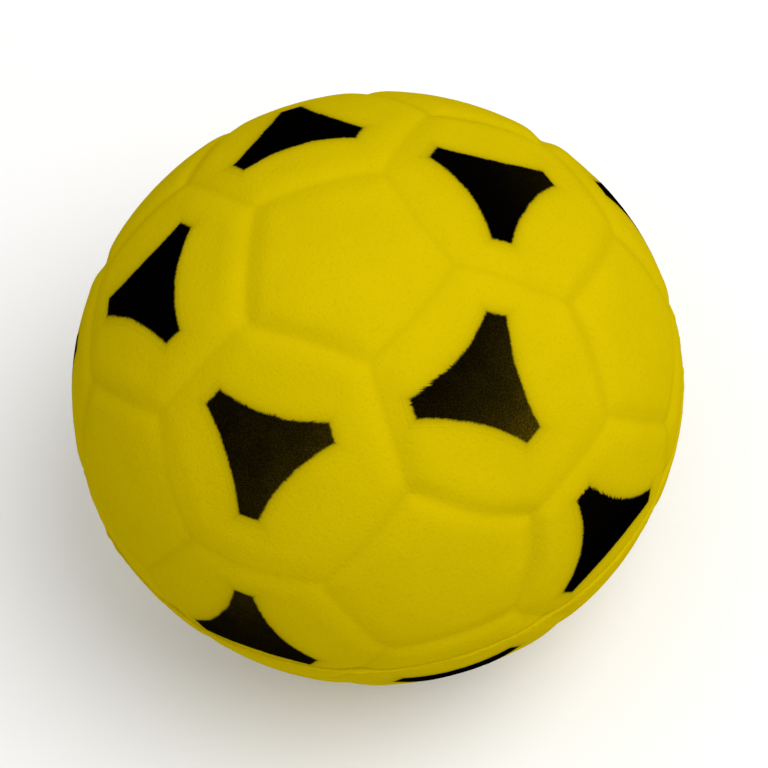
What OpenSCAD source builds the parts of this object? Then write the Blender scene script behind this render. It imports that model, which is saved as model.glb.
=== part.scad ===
// Stress ball: a moulded foam ball with a football panel pattern and twenty
// sprayed three-pointed marks. The origin is the ball's centre. +Z is the mould
// axis, so the parting line lies in the plane z = 0. The front is -Y.

/* [Ball] */
// Diameter over the panels
ball_d = 70; // [60:1:100]
// Thickness of the dense outer skin
skin_t = 1.2; // [1:0.1:2]

/* [Panels] */
// Angle from a five-sided panel's centre to its corners
pentagon_reach = 20.0; // [18:0.1:20]
// Depth of the creases where two panels meet
groove_depth = 0.5; // [0.3:0.05:0.8]

/* [Parting line] */
// How far the flash stands out from the panels
flash_out = 0.3; // [0.1:0.05:0.6]
// Width of the flash where it meets the skin
flash_w = 0.7; // [0.4:0.1:0.8]

/* [Paint marks] */
// Angle from a mark's centre to each of its flat tips
mark_reach = 13; // [11:0.1:14]
// Radius of a mark's hollow sides, as an angle about the nearest pentagon
hollow_reach = 30.7; // [29:0.1:32]
// Thickness of the paint film
film_t = 0.1; // [0.08:0.01:0.2]
// How far the first ring of marks is sprayed towards its pole
ring_shift = 1.9; // [0:0.1:3]
// How far the lower marks beside the parting line are sprayed towards the pole
lower_shift = 4.0; // [0:0.1:5]
// Lean of the upper spray mask, towards -X
mask_lean = 1.8; // [0:0.1:2]
// Turn of the upper spray mask about the mould axis
mask_turn = -0.7; // [-2:0.1:2]

/* [Hidden] */
$fn = 128;
ball_r = ball_d / 2;
fit_gap = 0.05;
film_lift = 0.03;
front = -90;
fold = 72;
half_fold = fold / 2;
far = 1.2 * ball_r;

// Angles from the pole to the rings of panels on a truncated icosahedron
pentagon_ring = atan(2);
hexagon_ring = 37.377;
equator_ring = 79.188;

// Angles from a panel's centre to the middle of its sides
pentagon_side = atan(tan(pentagon_reach) * cos(half_fold));
hexagon_side = hexagon_ring - pentagon_side;

// Each panel is a shallow dome: a sphere that reaches the ball's own surface at
// the panel's centre and sinks by the crease's depth at the middle of its sides.
// This is how far the sphere's centre lies from the ball's.
function dome_shift(side) =
    let (crease_r = ball_r - groove_depth)
    (ball_r ^ 2 - crease_r ^ 2) / (2 * (ball_r - crease_r * cos(side)));

yellow = [0.88, 0.78, 0.02];
cream = [0.93, 0.87, 0.55];
black = [0.03, 0.03, 0.02];

// Turns a shape made around +Z to a place given by its angle from the upper
// pole and its angle about the mould axis, where 0 is the front
module place(polar, turn, spin = 0) {
    rotate([0, polar, front + turn])
        rotate([0, 0, spin])
            children();
}

module dome(side) {
    shift = dome_shift(side);
    translate([0, 0, shift])
        sphere(r = ball_r - shift);
}

// The skin above the parting plane, with every panel that reaches above it
module half_skin() {
    difference() {
        intersection() {
            union() {
                dome(pentagon_side);
                for (i = [0 : 4]) {
                    place(pentagon_ring, fold * i)
                        dome(pentagon_side);
                    place(hexagon_ring, fold * i + half_fold)
                        dome(hexagon_side);
                    place(equator_ring, fold * i + half_fold)
                        dome(hexagon_side);
                    place(180 - equator_ring, fold * i)
                        dome(hexagon_side);
                }
            }
            cylinder(h = far, r = far);
        }
        sphere(r = ball_r - skin_t);
    }
}

module foam_core() {
    color(cream)
        sphere(r = ball_r - skin_t - fit_gap);
}

module upper_skin() {
    color(yellow)
        half_skin();
}

module lower_skin() {
    color(yellow)
        rotate([180, 0, 0])
            half_skin();
}

// The thin bead of foam squeezed out between the two halves of the mould
module parting_flash() {
    color(yellow)
        rotate_extrude()
            polygon([
                [ball_r + fit_gap, -flash_w / 2],
                [ball_r + flash_out, -flash_w / 8],
                [ball_r + flash_out, flash_w / 8],
                [ball_r + fit_gap, flash_w / 2]
            ]);
}

// One three-pointed mark around +Z, with a flat tip towards +X
module mark() {
    inner = ball_r + film_lift;
    cap = mark_reach + 3;
    difference() {
        rotate_extrude()
            intersection() {
                difference() {
                    circle(r = inner + film_t);
                    circle(r = inner);
                }
                polygon([[0, 0], [0, far], [far * tan(cap), far]]);
            }
        for (i = [0 : 2]) {
            rotate([0, hexagon_ring, 60 + 120 * i])
                cylinder(h = far, r1 = 0, r2 = far * tan(hollow_reach));
            rotate([0, mark_reach, 120 * i])
                translate([0, -far / 2, 0])
                    cube([far, far, far]);
        }
    }
}

// Marks 1 to 5 ring the upper pole and 6 to 10 follow the parting line
module upper_mark(i) {
    near_pole = i <= 5;
    color(black)
        rotate([0, -mask_lean, mask_turn])
            place(
                near_pole ? hexagon_ring - ring_shift : equator_ring,
                fold * i - half_fold,
                near_pole ? 0 : 180
            )
                mark();
}

// Marks 1 to 5 ring the lower pole and 6 to 10 follow the parting line
module lower_mark(i) {
    near_pole = i <= 5;
    color(black)
        place(
            180 - (near_pole ? hexagon_ring - ring_shift : equator_ring - lower_shift),
            fold * (i - 1),
            near_pole ? 180 : 0
        )
            mark();
}

foam_core();
upper_skin();
lower_skin();
parting_flash();
for (i = [1 : 10])
    upper_mark(i);
for (i = [1 : 10])
    lower_mark(i);
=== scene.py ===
import math

import bpy
import numpy as np
from mathutils import Matrix, Vector


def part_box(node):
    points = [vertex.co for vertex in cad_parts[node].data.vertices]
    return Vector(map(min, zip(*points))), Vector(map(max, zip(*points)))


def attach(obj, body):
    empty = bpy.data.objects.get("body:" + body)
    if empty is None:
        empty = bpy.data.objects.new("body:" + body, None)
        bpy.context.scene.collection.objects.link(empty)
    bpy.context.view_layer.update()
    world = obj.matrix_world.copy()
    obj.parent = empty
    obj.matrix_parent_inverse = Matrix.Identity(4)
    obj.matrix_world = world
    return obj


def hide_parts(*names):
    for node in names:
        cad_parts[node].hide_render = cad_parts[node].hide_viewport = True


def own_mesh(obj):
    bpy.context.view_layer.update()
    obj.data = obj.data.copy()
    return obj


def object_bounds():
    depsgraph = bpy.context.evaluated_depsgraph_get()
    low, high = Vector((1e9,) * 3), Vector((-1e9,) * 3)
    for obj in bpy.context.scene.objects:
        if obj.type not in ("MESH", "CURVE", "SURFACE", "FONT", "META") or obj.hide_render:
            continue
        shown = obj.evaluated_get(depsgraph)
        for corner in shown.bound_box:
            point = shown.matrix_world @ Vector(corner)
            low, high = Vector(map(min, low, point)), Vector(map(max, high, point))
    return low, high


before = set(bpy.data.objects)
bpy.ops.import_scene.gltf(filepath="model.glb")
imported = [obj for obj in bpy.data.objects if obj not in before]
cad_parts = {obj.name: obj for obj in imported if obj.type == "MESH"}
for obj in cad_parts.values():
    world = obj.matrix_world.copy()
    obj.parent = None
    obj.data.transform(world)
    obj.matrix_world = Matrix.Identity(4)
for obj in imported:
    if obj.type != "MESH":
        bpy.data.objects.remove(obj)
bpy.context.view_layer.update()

MM = 0.001
# The ball's own radius, in millimetres, from the top of the skin.
BALL_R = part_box("upper_skin")[1].z / MM
CORE_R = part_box("foam_core")[1].z / MM
# The gap between the core and the inside of the skin.
CORE_GAP = 0.05
SKIN_T = BALL_R - CORE_R - CORE_GAP
FLASH_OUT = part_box("parting_flash")[1].x / MM - BALL_R
FLASH_W = (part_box("parting_flash")[1].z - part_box("parting_flash")[0].z) / MM

# ---------------------------------------------------------------- the camera
# The ball is seen from the front and well above, with the mould axis leaning
# to the left of the picture's vertical.
LOOK_ELEVATION = 65.2
LOOK_LEAN = 16.0
LOOK_DISTANCE = 8.5
FOCAL_PER_FRAME = 3.31
SENSOR_WIDTH = 36.0
SHIFT_X, SHIFT_Y = 0.0086, 0.0053


def unit(v):
    v = np.asarray(v, float)
    return v / np.linalg.norm(v, axis=-1, keepdims=True)


el = math.radians(LOOK_ELEVATION)
to_camera = np.array([0.0, -math.cos(el), math.sin(el)])
level_up = unit(np.array([0.0, 0.0, 1.0]) - to_camera * to_camera[2])
level_right = np.cross(level_up, to_camera)
lean = math.radians(LOOK_LEAN)
cam_up = math.cos(lean) * level_up + math.sin(lean) * level_right
cam_right = np.cross(cam_up, to_camera)

cam_data = bpy.data.cameras.new("camera")
cam_data.sensor_width = SENSOR_WIDTH
cam_data.lens = SENSOR_WIDTH * FOCAL_PER_FRAME
cam_data.shift_x = SHIFT_X
cam_data.shift_y = SHIFT_Y
cam_data.clip_start = 0.01
cam = bpy.data.objects.new("camera", cam_data)
bpy.context.scene.collection.objects.link(cam)
rotation = Matrix([list(cam_right), list(cam_up), list(to_camera)]).transposed()
place_at = Vector(to_camera * LOOK_DISTANCE * BALL_R * MM)
cam.matrix_world = Matrix.Translation(place_at) @ rotation.to_4x4()
bpy.context.scene.camera = cam

# ------------------------------------------------------- the ball's own shape
# The soft ball is a little out of round: long one way and short across it.
LONG_DIR = unit([0.972, -0.035, -0.022])
SHORT_DIR = unit([0.06, 0.906, 0.418])
LONG_DIR = unit(LONG_DIR - SHORT_DIR * np.dot(LONG_DIR, SHORT_DIR))
LONGER = 0.0157
SHORTER = 0.0155
OUT_OF_ROUND = (
    np.eye(3)
    + LONGER * np.outer(LONG_DIR, LONG_DIR)
    - SHORTER * np.outer(SHORT_DIR, SHORT_DIR)
)
# A distance in millimetres that is never the least.
FAR = 99.0

FRONT = -90.0
FOLD = 72.0
PENTAGON_RING = math.degrees(math.atan(2.0))
HEXAGON_RING = 37.377
EQUATOR_RING = 79.188
PENTAGON_REACH = 20.0
PENTAGON_SIDE = math.degrees(
    math.atan(math.tan(math.radians(PENTAGON_REACH)) * math.cos(math.radians(36)))
)


def rot_z(deg):
    a = math.radians(deg)
    c, s = math.cos(a), math.sin(a)
    return np.array([[c, -s, 0], [s, c, 0], [0, 0, 1.0]])


def rot_y(deg):
    a = math.radians(deg)
    c, s = math.cos(a), math.sin(a)
    return np.array([[c, 0, s], [0, 1.0, 0], [-s, 0, c]])


def place(polar, turn, spin=0.0):
    return rot_z(FRONT + turn) @ rot_y(polar) @ rot_z(spin)


def direction(polar, turn):
    return place(polar, turn) @ np.array([0.0, 0.0, 1.0])


pentagons = [direction(0, 0), direction(180, 0)]
hexagons = []
for i in range(5):
    pentagons.append(direction(PENTAGON_RING, FOLD * i))
    pentagons.append(direction(180 - PENTAGON_RING, FOLD * i + 36))
    hexagons.append(direction(HEXAGON_RING, FOLD * i + 36))
    hexagons.append(direction(EQUATOR_RING, FOLD * i + 36))
    hexagons.append(direction(180 - EQUATOR_RING, FOLD * i))
    hexagons.append(direction(180 - HEXAGON_RING, FOLD * i))
pentagons = np.array(pentagons)
hexagons = np.array(hexagons)


def side_normals():
    """The inward normal of each side's great circle: 12 pentagons, then 20 hexagons."""
    psi = math.radians(PENTAGON_SIDE)
    rows = []
    hexagon_rows = [[] for _ in hexagons]
    for p in pentagons:
        near = np.argsort(-(hexagons @ p))[:5]
        own = []
        for h in near:
            t = unit(hexagons[h] - p * np.dot(hexagons[h], p))
            n = p * math.sin(psi) - t * math.cos(psi)
            own.append(n)
            hexagon_rows[h].append(-n)
        rows.append(own + [own[0]])
    for k, h in enumerate(hexagons):
        near = np.argsort(-(hexagons @ h))[1:4]
        for j in near:
            hexagon_rows[k].append(unit(h - hexagons[j]))
        rows.append(hexagon_rows[k])
    return np.array(rows)


SIDES = side_normals()


def waves(points, size, count, seed):
    """Smooth, repeatable lumps about `size` millimetres across, mostly within -1 to 1."""
    rng = np.random.default_rng(seed)
    k = unit(rng.normal(size=(count, 3))) * rng.uniform(0.6, 1.5, (count, 1))
    phase = rng.uniform(0, 2 * math.pi, count)
    total = np.zeros(len(points))
    for i in range(count):
        total += np.sin(points @ k[i] * (math.pi / size) + phase[i])
    return total * math.sqrt(2.0 / count) * 0.7


GROOVE_PENTAGON = 0.41
GROOVE_HEXAGON = 0.24
# The creases are deeper towards one side of the mould.
DEEPER = unit([0.95, 0.0, 0.3])


def crease_distances(v):
    """Each direction's distance to every side of its own panel, in millimetres, and whether
    the panel is a hexagon. A hexagon's first three sides adjoin pentagons."""
    p = np.argmax(v @ pentagons.T, axis=1)
    inside = np.einsum("nij,nj->ni", SIDES[p][:, :5], v).min(axis=1) > 0
    h = np.argmax(v @ hexagons.T, axis=1)
    panel = np.where(inside, p, 12 + h)
    sine = np.einsum("nij,nj->ni", SIDES[panel], v)
    d = np.arcsin(np.clip(sine, -1, 1)) * BALL_R
    # a five-sided panel has no sixth side
    d[inside, 5] = FAR
    return np.maximum(d, 0), ~inside


# Where the mould's pattern departs from a regular one: angle from the pole, turn from the
# front, then how far it is moved around and away from the pole, over what reach, in degrees.
NUDGES = [
    (63, 0, 1.1, 1.3, 22),
    (58, -36, -0.3, 2.1, 14),
    (63, -72, -1.0, 0.5, 18),
    (40, 72, -1.7, 0.0, 12),
    (52, 17, 0.0, 1.4, 8),
    (52, -17, 0.4, 0.4, 8),
    (70, 18, 1.9, 0.0, 10),
    (18, 36, 0.0, 1.0, 10),
    (18, 108, 0.0, -1.0, 10),
    (18, -36, 0.0, -0.4, 9),
    (37, -72, 0.8, 0.0, 12),
]

# Where the creases are deeper or shallower than the rest: angle from the pole, turn from the
# front, the factor there, and its reach in degrees.
LEVELS = [
    (52, -57, 0.08, 15),
    (58, -36, 0.28, 11),
    (70, -17, 0.40, 12),
    (70, 19, 1.8, 9),
    (18, -36, 1.25, 9),
    (18, 36, 0.32, 9),
    (18, 170, 0.70, 14),
    (37, 0, 1.6, 8),
    (75, -72, 0.60, 14),
    (65, 128, 1.15, 20),
    (62, -112, 1.10, 16),
    (52, 14, 0.85, 8),
    (40, 72, 1.7, 10),
]


# Where the parting line dips: how far in millimetres, at what turn and over what reach.
SEAM_DIP, DIP_TURN, DIP_REACH = 0.9, 40, 24


def seam_level(v):
    """The parting line's height, in millimetres: it dips where the two mould halves met badly."""
    turn = np.degrees(np.arctan2(v[:, 0], -v[:, 1]))
    return -SEAM_DIP * np.exp(-(((turn - DIP_TURN) / DIP_REACH) ** 2))


def levels(v):
    total = np.ones(len(v))
    for polar, turn, factor, reach in LEVELS:
        off = np.degrees(np.arccos(np.clip(v @ direction(polar, turn), -1, 1)))
        total *= 1 + (factor - 1) * np.exp(-((off / reach) ** 2))
    return total


# The pattern's random unevenness, as a share of the radius.
SWAY = 0.0025


def swayed(v):
    """The moulded pattern's small unevenness: where each direction falls on a regular ball."""
    at = v * BALL_R
    sway = np.stack([waves(at, 7.0, 20, s) for s in (11, 12, 13)], axis=1)
    moved = v + SWAY * sway
    around = np.stack([-v[:, 1], v[:, 0], np.zeros(len(v))], axis=1)
    around = around / np.maximum(np.linalg.norm(around, axis=1, keepdims=True), 1e-6)
    away = np.cross(around, v)
    for polar, turn, east, south, reach in NUDGES:
        off = np.degrees(np.arccos(np.clip(v @ direction(polar, turn), -1, 1)))
        amount = np.radians(np.exp(-((off / reach) ** 2)))[:, None]
        moved = moved - amount * (east * around + south * away)
    return unit(moved)


def surface(v):
    """The skin's height over the ball's nominal radius, in millimetres."""
    at = v * BALL_R
    d, hexagon = crease_distances(swayed(v))
    # a rounded valley, a little wider on a five-sided panel's side, with a fine crease in it
    wide = np.where(hexagon, 1.25, 1.45)[:, None]
    shape = 0.92 * np.exp(-((d / wide) ** 2)) + 0.08 * np.exp(-d / 0.35)
    depth = np.full(d.shape, GROOVE_PENTAGON)
    depth[hexagon, 3:] = GROOVE_HEXAGON
    even = (1 + 0.08 * waves(at, 10.0, 16, 21) + 0.25 * v @ DEEPER) * levels(v)
    h = -even * ((depth * shape) ** 3).sum(axis=1) ** (1 / 3)
    near = d.min(axis=1)
    # a six-sided panel swells a little just inside its creases
    h += np.where(hexagon, 0.06, 0.0) * np.exp(-(((near - 2.9) / 1.2) ** 2))
    # faint lumps, from broad to fine
    h += 0.010 * waves(at, 7.0, 24, 31) + 0.005 * waves(at, 1.7, 30, 32)
    h += 0.004 * waves(at, 0.8, 36, 33)
    # the skin draws in at the parting line, with a low lip just below it
    off = v[:, 2] * BALL_R - seam_level(v)
    above = np.clip(off, 0, None)
    below = np.clip(-off, 0, None)
    h += np.where(
        off >= 0,
        -0.22 * np.exp(-above / 0.50),
        -0.20 * np.exp(-below / 0.25) + 0.12 * np.exp(-(((below - 0.8) / 0.6) ** 2)),
    )
    return h


def shaped(v, r):
    """Points at radius r (millimetres) in each direction, on the out-of-round ball, in metres."""
    return (v * np.asarray(r)[:, None]) @ OUT_OF_ROUND.T * MM


# ------------------------------------------------------------- mesh building
def make_object(name, verts, faces, material, smooth=True):
    """A mesh object from an array of points and an array of faces with equal counts of corners."""
    mesh = bpy.data.meshes.new(name)
    mesh.vertices.add(len(verts))
    mesh.vertices.foreach_set("co", np.asarray(verts, np.float32).ravel())
    sizes = np.full(len(faces), faces.shape[1])
    loops = faces.ravel()
    mesh.loops.add(len(loops))
    mesh.loops.foreach_set("vertex_index", loops.astype(np.int32))
    mesh.polygons.add(len(sizes))
    starts = np.concatenate([[0], np.cumsum(sizes)[:-1]])
    mesh.polygons.foreach_set("loop_start", starts.astype(np.int32))
    mesh.polygons.foreach_set("loop_total", sizes.astype(np.int32))
    mesh.polygons.foreach_set("use_smooth", np.full(len(sizes), smooth))
    mesh.update(calc_edges=True)
    mesh.validate()
    mesh.materials.append(material)
    obj = bpy.data.objects.new(name, mesh)
    bpy.context.scene.collection.objects.link(obj)
    return obj


def give_values(obj, name, values):
    layer = obj.data.attributes.new(name, "FLOAT", "POINT")
    layer.data.foreach_set("value", np.asarray(values, np.float32))


def disc_rings(count):
    """A disc of rings, where ring k has 6k points: polar share, turn, and triangles."""
    share, turn = [0.0], [0.0]
    first = [0]
    for k in range(1, count + 1):
        first.append(len(share))
        for j in range(6 * k):
            share.append(k / count)
            turn.append(2 * math.pi * j / (6 * k))
    tris = []
    for k in range(1, count + 1):
        outer, inner = 6 * k, 6 * (k - 1)
        for side in range(6):
            for j in range(k):
                a = first[k] + (side * k + j) % outer
                b = first[k] + (side * k + j + 1) % outer
                if k == 1:
                    tris.append((a, b, 0))
                    continue
                c = first[k - 1] + (side * (k - 1) + j) % inner
                tris.append((a, b, c))
                if j < k - 1:
                    e = first[k - 1] + (side * (k - 1) + j + 1) % inner
                    tris.append((b, e, c))
    return np.array(share), np.array(turn), np.array(tris), first


# The two halves stop just short of the parting plane, as a share of the radius.
RIM_CLEAR = 0.00012


def half_sphere(count, flip):
    """Directions over one half of the ball, in rings from its pole, with their triangles."""
    share, turn, tris, first = disc_rings(count)
    polar = share * math.pi / 2
    v = np.stack(
        [np.sin(polar) * np.cos(turn), np.sin(polar) * np.sin(turn), np.cos(polar)], axis=1
    )
    v[np.isclose(share, 1.0), 2] = RIM_CLEAR
    if flip:
        v = v * np.array([1.0, -1.0, -1.0])
    return v, tris, first


OUTER_RINGS = 176
INNER_RINGS = 44


def skin_half(name, flip, material):
    """One half of the moulded skin: a closed shell with the panels outside and a plain inside."""
    v, tris, first = half_sphere(OUTER_RINGS, flip)
    outside = shaped(v, BALL_R + surface(v))
    w, inner_tris, inner_first = half_sphere(INNER_RINGS, flip)
    inside = shaped(w, np.full(len(w), BALL_R - SKIN_T))
    base = len(v)
    edge = first[OUTER_RINGS]
    inner_edge = base + inner_first[INNER_RINGS]
    step = OUTER_RINGS // INNER_RINGS
    n_out, n_in = 6 * OUTER_RINGS, 6 * INNER_RINGS
    rim = []
    for j in range(n_in):
        a = inner_edge + j
        b = inner_edge + (j + 1) % n_in
        for s in range(step):
            p = edge + (j * step + s) % n_out
            q = edge + (j * step + s + 1) % n_out
            rim.append((p, a, q))
        rim.append((a, b, edge + ((j + 1) * step) % n_out))
    faces = np.concatenate([tris, inner_tris[:, ::-1] + base, np.array(rim)])
    obj = make_object(name, np.concatenate([outside, inside]), faces, material)
    give_values(obj, "haze", np.concatenate([hazed(v), np.zeros(len(w))]))
    # these values are painted shade, darkening the bottom of each crease
    give_values(obj, "crease", np.concatenate([crease_shade(v), np.zeros(len(w))]))
    return obj


# ------------------------------------------------------------------ materials
def new_material(name):
    m = bpy.data.materials.new(name)
    m.use_nodes = True
    return m, m.node_tree, m.node_tree.nodes["Principled BSDF"]


def link(nt, a, b):
    nt.links.new(a, b)


def noise(nt, coord, scale, detail=2.0, rough=0.5):
    n = nt.nodes.new("ShaderNodeTexNoise")
    n.inputs["Scale"].default_value = scale
    n.inputs["Detail"].default_value = detail
    n.inputs["Roughness"].default_value = rough
    link(nt, coord, n.inputs["Vector"])
    return n.outputs["Fac"]


def ramp(nt, value, lo, hi, a=0.0, b=1.0):
    n = nt.nodes.new("ShaderNodeMapRange")
    n.interpolation_type = "SMOOTHSTEP"
    n.inputs["From Min"].default_value = lo
    n.inputs["From Max"].default_value = hi
    n.inputs["To Min"].default_value = a
    n.inputs["To Max"].default_value = b
    link(nt, value, n.inputs["Value"])
    return n.outputs["Result"]


def mix_colour(nt, fac, a, b):
    n = nt.nodes.new("ShaderNodeMix")
    n.data_type = "RGBA"
    for sock, val in ((n.inputs["Factor"], fac), (n.inputs[6], a), (n.inputs[7], b)):
        if isinstance(val, bpy.types.NodeSocket):
            link(nt, val, sock)
        elif isinstance(val, (int, float)):
            sock.default_value = val
        else:
            sock.default_value = (*val, 1.0)
    return n.outputs[2]


def maths(nt, how, a, b):
    n = nt.nodes.new("ShaderNodeMath")
    n.operation = how
    for k, val in enumerate((a, b)):
        if isinstance(val, bpy.types.NodeSocket):
            link(nt, val, n.inputs[k])
        else:
            n.inputs[k].default_value = val
    return n.outputs[0]


YELLOW = (0.512, 0.387, 0.0004)
YELLOW_LIGHT = (0.530, 0.401, 0.0004)
YELLOW_DEEP = (0.435, 0.325, 0.0003)
BLACK = (0.0004, 0.0003, 0.0003)
THIN_BLACK = (0.066, 0.044, 0.0014)
SPECK = (0.05, 0.04, 0.005)
CORE_PALE, CORE_PALER = (0.80, 0.70, 0.26), (0.86, 0.77, 0.36)
# painted shade for the pits of the open cells
CORE_PIT_SHADE = (0.60, 0.50, 0.16)


# How far the painted shade along the bottom of each crease goes towards the deep yellow.
PAINTED_CREASE_SHADE = 0.35


def foam_colour(nt, coord):
    broad = ramp(nt, noise(nt, coord, 140.0, 3.0), 0.32, 0.68)
    c = mix_colour(nt, broad, YELLOW, YELLOW_LIGHT)
    grain = ramp(nt, noise(nt, coord, 2600.0, 2.0, 0.6), 0.52, 0.78, 0.0, 0.45)
    return mix_colour(nt, grain, c, YELLOW_DEEP)


def foam_bump(nt, coord, bsdf, strength=0.28):
    fine = noise(nt, coord, 3000.0, 3.0, 0.6)
    cells = nt.nodes.new("ShaderNodeTexVoronoi")
    cells.inputs["Scale"].default_value = 1700.0
    link(nt, coord, cells.inputs["Vector"])
    pits = ramp(nt, cells.outputs["Distance"], 0.05, 0.45)
    total = maths(nt, "ADD", fine, maths(nt, "MULTIPLY", pits, 0.55))
    bump = nt.nodes.new("ShaderNodeBump")
    bump.inputs["Strength"].default_value = strength
    bump.inputs["Distance"].default_value = 0.00012
    link(nt, total, bump.inputs["Height"])
    link(nt, bump.outputs["Normal"], bsdf.inputs["Normal"])


def coords(nt):
    return nt.nodes.new("ShaderNodeTexCoord").outputs["Object"]


def foam_material(name, marked=False):
    """Yellow foam skin. With `marked` it also takes the painted shade in the creases and the stray
    black spray.
    """
    m, nt, bsdf = new_material(name)
    co = coords(nt)
    c = foam_colour(nt, co)
    # a few stray specks of black spray
    drops = nt.nodes.new("ShaderNodeTexVoronoi")
    drops.inputs["Scale"].default_value = 130.0
    link(nt, co, drops.inputs["Vector"])
    near = ramp(nt, drops.outputs["Distance"], 0.012, 0.026, 1.0, 0.0)
    apart = nt.nodes.new("ShaderNodeSeparateColor")
    link(nt, drops.outputs["Color"], apart.inputs[0])
    few = ramp(nt, apart.outputs[0], 0.86, 0.88)
    c = mix_colour(nt, maths(nt, "MULTIPLY", near, few), c, SPECK)
    if marked:
        # painted shade: the bottom of each crease is mixed towards the deep yellow
        crease = nt.nodes.new("ShaderNodeAttribute")
        crease.attribute_name = "crease"
        line = maths(nt, "MULTIPLY", crease.outputs["Fac"], PAINTED_CREASE_SHADE)
        c = mix_colour(nt, line, c, YELLOW_DEEP)
        haze = nt.nodes.new("ShaderNodeAttribute")
        haze.attribute_name = "haze"
        c = mix_colour(nt, haze.outputs["Fac"], c, BLACK)
    link(nt, c, bsdf.inputs["Base Color"])
    rough = ramp(nt, noise(nt, co, 900.0, 2.0), 0.3, 0.7, 0.62, 0.78)
    link(nt, rough, bsdf.inputs["Roughness"])
    bsdf.inputs["Specular IOR Level"].default_value = 0.0
    bsdf.inputs["Diffuse Roughness"].default_value = 0.0
    foam_bump(nt, co, bsdf)
    return m


def core_material():
    m, nt, bsdf = new_material("open_foam")
    co = coords(nt)
    broad = ramp(nt, noise(nt, co, 300.0, 3.0), 0.35, 0.65)
    c = mix_colour(nt, broad, CORE_PALE, CORE_PALER)
    cells = nt.nodes.new("ShaderNodeTexVoronoi")
    cells.inputs["Scale"].default_value = 1400.0
    link(nt, co, cells.inputs["Vector"])
    hollow = ramp(nt, cells.outputs["Distance"], 0.1, 0.5)
    # painted shade: the pits that the bump sinks are coloured darker
    c = mix_colour(nt, hollow, CORE_PIT_SHADE, c)
    link(nt, c, bsdf.inputs["Base Color"])
    bsdf.inputs["Roughness"].default_value = 0.9
    bsdf.inputs["Specular IOR Level"].default_value = 0.1
    bump = nt.nodes.new("ShaderNodeBump")
    bump.inputs["Strength"].default_value = 0.6
    bump.inputs["Distance"].default_value = 0.0003
    link(nt, hollow, bump.inputs["Height"])
    link(nt, bump.outputs["Normal"], bsdf.inputs["Normal"])
    return m


def paint_material():
    """Sprayed black. `inside` is how far a point lies in from the mask's edge, in millimetres,
    `haze` the share of stray spray outside it, and `thin` how sparse the spray is."""
    m, nt, bsdf = new_material("sprayed_black")
    co = coords(nt)
    given = {}
    for name in ("inside", "haze", "thin"):
        node = nt.nodes.new("ShaderNodeAttribute")
        node.attribute_name = name
        given[name] = node.outputs["Fac"]
    fuzz = maths(nt, "SUBTRACT", noise(nt, co, 2600.0, 3.0, 0.65), 0.5)
    fuzz = maths(nt, "MULTIPLY", fuzz, 0.35)
    edge = ramp(nt, maths(nt, "ADD", given["inside"], fuzz), -0.24, 0.24)
    cover = maths(nt, "MAXIMUM", edge, given["haze"])
    specks = ramp(nt, noise(nt, co, 6500.0, 3.0, 0.8), 0.36, 0.66, 0.25, 1.70)
    cloud = ramp(nt, noise(nt, co, 320.0, 2.0), 0.35, 0.65, 0.8, 1.12)
    sparse = maths(nt, "MULTIPLY", given["thin"], maths(nt, "MULTIPLY", specks, cloud))
    tint = mix_colour(nt, sparse, BLACK, THIN_BLACK)
    c = mix_colour(nt, cover, foam_colour(nt, co), tint)
    link(nt, c, bsdf.inputs["Base Color"])
    bsdf.inputs["Roughness"].default_value = 0.75
    bsdf.inputs["Specular IOR Level"].default_value = 0.0
    bsdf.inputs["Diffuse Roughness"].default_value = 0.0
    foam_bump(nt, co, bsdf, 0.3)
    return m


foam = foam_material("foam_skin", marked=True)
seam_foam = foam_material("foam_flash")
paint = paint_material()

# ------------------------------------------------------------- painted marks
MARK_REACH = 13.0
HOLLOW_REACH = 30.7
RING_SHIFT = 1.9
UPPER_MASK = rot_z(-0.7) @ rot_y(-2.3)
LOWER_SHIFT = 4.0
SECTORS = 600
RINGS = 24
# How far past the mask's edge a patch runs, in millimetres, to carry the fading spray.
SPREAD = 0.8
# A mark's film stands this high over the skin at its edge, and this much more within.
FILM_EDGE, FILM_MORE = 0.010, 0.030
# How far under the skin a patch's rim is turned down.
RIM_SUNK = 0.06


def mark_depth(local, grown=0.0):
    """How far directions about a mark's centre lie inside its mask, in millimetres.
    `grown` lengthens the three tips, in degrees."""
    deep = np.full(len(local), FAR)
    for i in range(3):
        past_tip = rot_z(120 * i) @ rot_y(MARK_REACH + grown) @ np.array([1.0, 0, 0])
        deep = np.minimum(deep, -np.arcsin(np.clip(local @ past_tip, -1, 1)))
        hollow = rot_z(60 + 120 * i) @ rot_y(HEXAGON_RING) @ np.array([0, 0, 1.0])
        apart = np.arccos(np.clip(local @ hollow, -1, 1))
        deep = np.minimum(deep, apart - math.radians(HOLLOW_REACH))
    return deep * BALL_R


def stray(inside):
    """The share of stray spray at each depth inside the mask; outside it the depth is negative."""
    out = np.clip(-inside, 0, None)
    return 0.26 * np.exp(-out / 0.35) + 0.11 * np.exp(-out / 1.1)


# Marks whose mask lay loose, so their tips run on a little further.
GROWN = {"upper_mark_6": 0.9, "upper_mark_10": 0.2}
marks = []
for i in range(1, 11):
    near_pole = i <= 5
    pose = UPPER_MASK @ place(
        HEXAGON_RING - RING_SHIFT if near_pole else EQUATOR_RING,
        FOLD * i - 36,
        0 if near_pole else 180,
    )
    marks.append((f"upper_mark_{i}", "upper_half", pose, 100 + 7 * i))
    pose = place(
        180 - (HEXAGON_RING - RING_SHIFT if near_pole else EQUATOR_RING - LOWER_SHIFT),
        FOLD * (i - 1),
        180 if near_pole else 0,
    )
    marks.append((f"lower_mark_{i}", "lower_half", pose, 300 + 7 * i))


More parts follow.
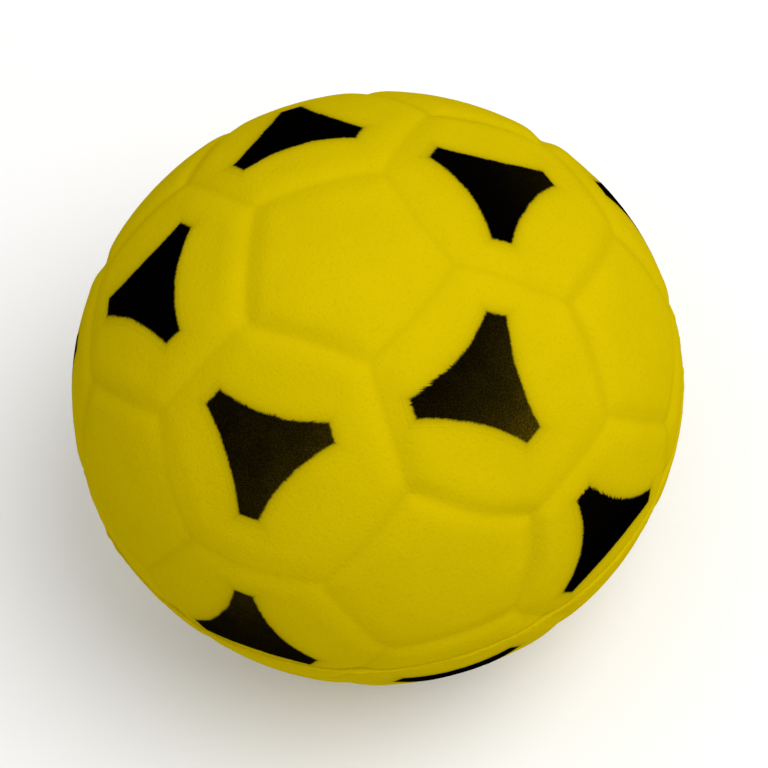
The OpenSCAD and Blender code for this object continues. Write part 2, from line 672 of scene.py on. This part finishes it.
def hazed(v):
    """The stray spray that all marks together leave on the skin."""
    total = np.zeros(len(v))
    for name, _, pose, _ in marks:
        near = np.flatnonzero(v @ pose[:, 2] > math.cos(math.radians(MARK_REACH + 12)))
        if len(near):
            depth = mark_depth(v[near] @ pose, GROWN.get(name, 0.0))
            total[near] = np.maximum(total[near], stray(depth))
    return total


def crease_shade(v):
    """Painted shade: a fine dark line along the bottom of each crease, where shade falls."""
    d, _ = crease_distances(swayed(v))
    return np.exp(-((d.min(axis=1) / 0.42) ** 2))


def ripple(phi, seed, low, high, count):
    """A wavering edge round a mark, of `count` waves with `low` to `high` crests in a turn."""
    rng = np.random.default_rng(seed)
    total = np.zeros(len(phi))
    for _ in range(count):
        total += np.sin(phi * rng.integers(low, high) + rng.uniform(0, 2 * math.pi))
    return total / math.sqrt(count)


def hairs(phi, seed, count, middle, spread, size):
    """Thin streaks, mostly about one turn, where the spray crept under the mask."""
    rng = np.random.default_rng(seed)
    total = np.zeros(len(phi))
    for _ in range(count):
        at = middle + rng.normal() * spread
        wide = rng.uniform(0.008, 0.016)
        off = np.angle(np.exp(1j * (phi - at)))
        total = np.maximum(total, rng.uniform(0.3, 1.0) * size * np.exp(-((off / wide) ** 2)))
    return total


def build_mark(name, pose, seed, thin, crept):
    grown = GROWN.get(name.replace("paint_", ""), 0.0)
    phi = np.arange(SECTORS) * 2 * math.pi / SECTORS
    # halve the range until it closes on the patch's edge
    lo, hi = np.zeros(SECTORS), np.full(SECTORS, math.radians(22))
    for _ in range(24):
        mid = (lo + hi) / 2
        here = np.stack([np.sin(mid) * np.cos(phi), np.sin(mid) * np.sin(phi), np.cos(mid)], axis=1)
        within = mark_depth(here, grown) > -SPREAD
        lo, hi = np.where(within, mid, lo), np.where(within, hi, mid)
    reach = lo
    share = 1 - (1 - np.linspace(0, 1, RINGS + 1)[1:]) ** 1.7
    rho = np.concatenate([[0.0], (share[:, None] * reach).ravel()])
    turn = np.concatenate([[0.0], np.tile(phi, RINGS)])
    local = np.stack([np.sin(rho) * np.cos(turn), np.sin(rho) * np.sin(turn), np.cos(rho)], axis=1)
    depth = mark_depth(local, grown)
    v = unit(local @ pose.T)
    lift = FILM_EDGE + FILM_MORE / (1 + np.exp(-(depth - 0.1) / 0.12))
    verts = shaped(v, BALL_R + surface(v) + lift)
    skirt = v[-SECTORS:]
    under = shaped(skirt, BALL_R + surface(skirt) - RIM_SUNK)
    verts = np.concatenate([verts, under])
    depth = np.concatenate([depth, depth[-SECTORS:]])
    uneven = 0.04 * ripple(turn, seed, 4, 14, 6) + 0.012 * ripple(turn, seed + 1, 30, 70, 10)
    if crept:
        uneven = uneven + hairs(turn, seed + 2, *crept)
    uneven = np.concatenate([uneven, uneven[-SECTORS:]])
    j = np.arange(SECTORS)
    nxt = (j + 1) % SECTORS
    tris = np.stack([np.zeros(SECTORS, int), 1 + j, 1 + nxt], axis=1)
    quads = []
    for k in range(RINGS):
        a, b = 1 + k * SECTORS, 1 + (k + 1) * SECTORS
        quads.append(np.stack([a + j, b + j, b + nxt, a + nxt], axis=1))
    quads = np.concatenate(quads)
    split = np.concatenate([quads[:, [0, 1, 2]], quads[:, [0, 2, 3]]])
    obj = make_object(name, verts, np.concatenate([tris, split]), paint)
    give_values(obj, "inside", depth + uneven)
    give_values(obj, "haze", stray(depth))
    side = np.concatenate([local, local[-SECTORS:]]) @ unit(thin[2])
    side = side / np.abs(side).max()
    give_values(obj, "thin", thin[0] + (thin[1] - thin[0]) * (0.5 + 0.5 * side) ** 3)
    return obj


# Where the spray came out thin: how sparse it is at the dense end and at the sparse end, and
# towards which of the mark's own sides it fades.
THIN = {
    "upper_mark_1": (0.05, 0.80, (1.0, 0.3, 0)),
    "upper_mark_2": (0.00, 0.10, (1.0, 0, 0)),
    "upper_mark_5": (0.07, 0.50, (0.3, 0.9, 0)),
    "upper_mark_6": (0.00, 0.02, (1.0, 0, 0)),
    "upper_mark_8": (0.03, 0.30, (-0.8, 0.4, 0)),
    "upper_mark_10": (0.05, 0.28, (1.0, 0, 0)),
    "lower_mark_3": (0.04, 0.40, (0.5, -0.8, 0)),
    "lower_mark_9": (0.03, 0.30, (0.9, 0.2, 0)),
}
SOLID = (0.0, 0.01, (1, 0, 0))
# Where it crept under the mask: how many streaks, about which turn, how spread and how long.
CREPT = {
    "upper_mark_1": (18, math.radians(-146), 0.22, 0.36),
    "upper_mark_5": (8, math.radians(180), 0.30, 0.22),
    "upper_mark_6": (26, math.radians(-22), 0.30, 0.28),
    "lower_mark_2": (12, math.radians(40), 0.4, 0.4),
    "lower_mark_8": (10, math.radians(-60), 0.3, 0.45),
}
mark_pieces = {}
for name, body, pose, seed in marks:
    piece = build_mark("paint_" + name, pose, seed, THIN.get(name, SOLID), CREPT.get(name))
    mark_pieces[name] = (piece, body)

# ------------------------------------------------------------------ the skins
upper = skin_half("ball_upper_skin", False, foam)
lower = skin_half("ball_lower_skin", True, foam)


CORE_RINGS = 60
# The core's mean surface lies this far inside its nominal radius, so its lumps stay within it.
CORE_INSET = 0.35
LUMP = 0.12


def build_core():
    """The foam inside: a closed, slightly lumpy ball."""
    v, tris, first = half_sphere(CORE_RINGS, False)
    w, other, _ = half_sphere(CORE_RINGS, True)
    edge, count = first[CORE_RINGS], 6 * CORE_RINGS
    # the lower half's rim is the upper half's, met at the same points
    remap = np.arange(len(w)) + len(v)
    for j in range(count):
        remap[edge + j] = edge + (-j) % count
    lumps = LUMP * waves(v * BALL_R, 3.0, 24, 51)
    lumps_w = LUMP * waves(w * BALL_R, 3.0, 24, 51)
    r = CORE_R - CORE_INSET
    verts = np.concatenate([shaped(v, r + lumps), shaped(w, r + lumps_w)])
    faces = np.concatenate([tris, remap[other]])
    return make_object("ball_foam_core", verts, faces, core_material())


core = build_core()


FLASH_STEPS = 1500
# The bead's section: how far each point stands out, as a share of the bead's height or, below
# zero, in millimetres, and how far it lies above or below, as a share of the bead's half width.
SECTION_OUT = np.array([-0.55, -0.2, 0.45, 0.9, 1.0, 0.92, 0.55, -0.2, -0.55])
SECTION_UP = np.array([-1.1, -1.0, -0.72, -0.35, 0.0, 0.35, 0.72, 1.0, 1.1])
# Where the trimming is most ragged, as an angle from +X, and over what reach, in degrees.
RAGGED_AT, RAGGED_REACH = 222, 28


def build_flash():
    """The bead of foam on the parting line, trimmed by hand, so its edge is uneven."""
    around, across = FLASH_STEPS, len(SECTION_OUT)
    turn = np.arange(around) * 2 * math.pi / around
    ring = np.stack([np.cos(turn), np.sin(turn), np.zeros(around)], axis=1)
    at = ring * BALL_R
    proud = 0.72 + 0.22 * waves(at, 5.0, 20, 61) + 0.16 * waves(at, 0.9, 30, 62)
    proud = np.clip(proud, 0.25, 1.25) * FLASH_OUT
    ragged = np.exp(-(((np.degrees(turn) - RAGGED_AT) / RAGGED_REACH) ** 2))
    proud = proud * (1 + 0.5 * ragged * waves(at, 1.3, 24, 63))
    width = FLASH_W * (0.36 + 0.05 * waves(at, 4.0, 16, 64))
    sway = 0.05 * waves(at, 8.0, 16, 65) - 0.10 + seam_level(ring)
    verts = []
    for k in range(across):
        rise = np.where(SECTION_OUT[k] > 0, SECTION_OUT[k] * proud, SECTION_OUT[k])
        r = BALL_R + rise - 0.10
        z = sway + SECTION_UP[k] * width
        # the ball is narrower where the line dips
        r = np.sqrt(r**2 - sway**2)
        p = np.stack([ring[:, 0] * r, ring[:, 1] * r, z], axis=1)
        verts.append(p @ OUT_OF_ROUND.T * MM)
    verts = np.concatenate(verts)
    quads = []
    j = np.arange(around)
    nxt = (j + 1) % around
    for k in range(across):
        a, b = k * around, ((k + 1) % across) * around
        quads.append(np.stack([a + j, a + nxt, b + nxt, b + j], axis=1))
    return make_object("ball_parting_flash", verts, np.concatenate(quads), seam_foam)


flash = build_flash()


def finish_piece(obj, node, body):
    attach(obj, body)
    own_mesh(obj)
    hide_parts(node)


finish_piece(core, "foam_core", "lower_half")
finish_piece(upper, "upper_skin", "upper_half")
finish_piece(lower, "lower_skin", "lower_half")
finish_piece(flash, "parting_flash", "lower_half")
for name, (obj, body) in mark_pieces.items():
    finish_piece(obj, name, body)

# ------------------------------------------------------------ floor and lights
new_lo, new_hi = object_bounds()
floor_mat, nt, bsdf = new_material("pale_floor")
bsdf.inputs["Base Color"].default_value = (0.87, 0.87, 0.87, 1.0)
bsdf.inputs["Roughness"].default_value = 0.9
bsdf.inputs["Specular IOR Level"].default_value = 0.0
FLOOR_HALF = 3.0
z = new_lo.z
floor = make_object(
    "floor",
    np.array([(x, y, z) for x, y in FLOOR_HALF * np.array([(-1, -1), (1, -1), (1, 1), (-1, 1)])]),
    np.array([[0, 1, 2, 3]]),
    floor_mat,
    smooth=False,
)

# an overhead studio: brightest above, about a quarter as bright at the horizon
SKY_LOW, SKY_HIGH = 0.27, 0.96
world = bpy.data.worlds.new("studio")
world.use_nodes = True
wt = world.node_tree
sky = wt.nodes.new("ShaderNodeTexCoord").outputs["Generated"]
apart = wt.nodes.new("ShaderNodeSeparateXYZ")
link(wt, sky, apart.inputs[0])
glow = ramp(wt, apart.outputs["Z"], 0.0, 1.0, SKY_LOW, SKY_HIGH)
glow.node.interpolation_type = "LINEAR"
link(wt, glow, wt.nodes["Background"].inputs["Strength"])
wt.nodes["Background"].inputs["Color"].default_value = (1.0, 1.0, 1.0, 1.0)
bpy.context.scene.world = world


def softbox(name, toward, distance, size, power):
    """A round area light, `distance` metres off in the direction `toward`, facing the ball."""
    data = bpy.data.lights.new(name, "AREA")
    data.shape = "DISK"
    data.size = size
    data.energy = power
    obj = bpy.data.objects.new(name, data)
    bpy.context.scene.collection.objects.link(obj)
    toward = Vector(unit(toward))
    obj.rotation_mode = "QUATERNION"
    obj.location = toward * distance
    obj.rotation_quaternion = toward.to_track_quat("Z", "Y")


# The key light stands to the right of and above the camera.
key = 0.37 * cam_right + 0.33 * cam_up + 0.87 * to_camera
softbox("key_softbox", key, distance=0.60, size=0.45, power=2.55)

bpy.context.scene.view_settings.view_transform = "Standard"
bpy.context.scene.view_settings.look = "None"
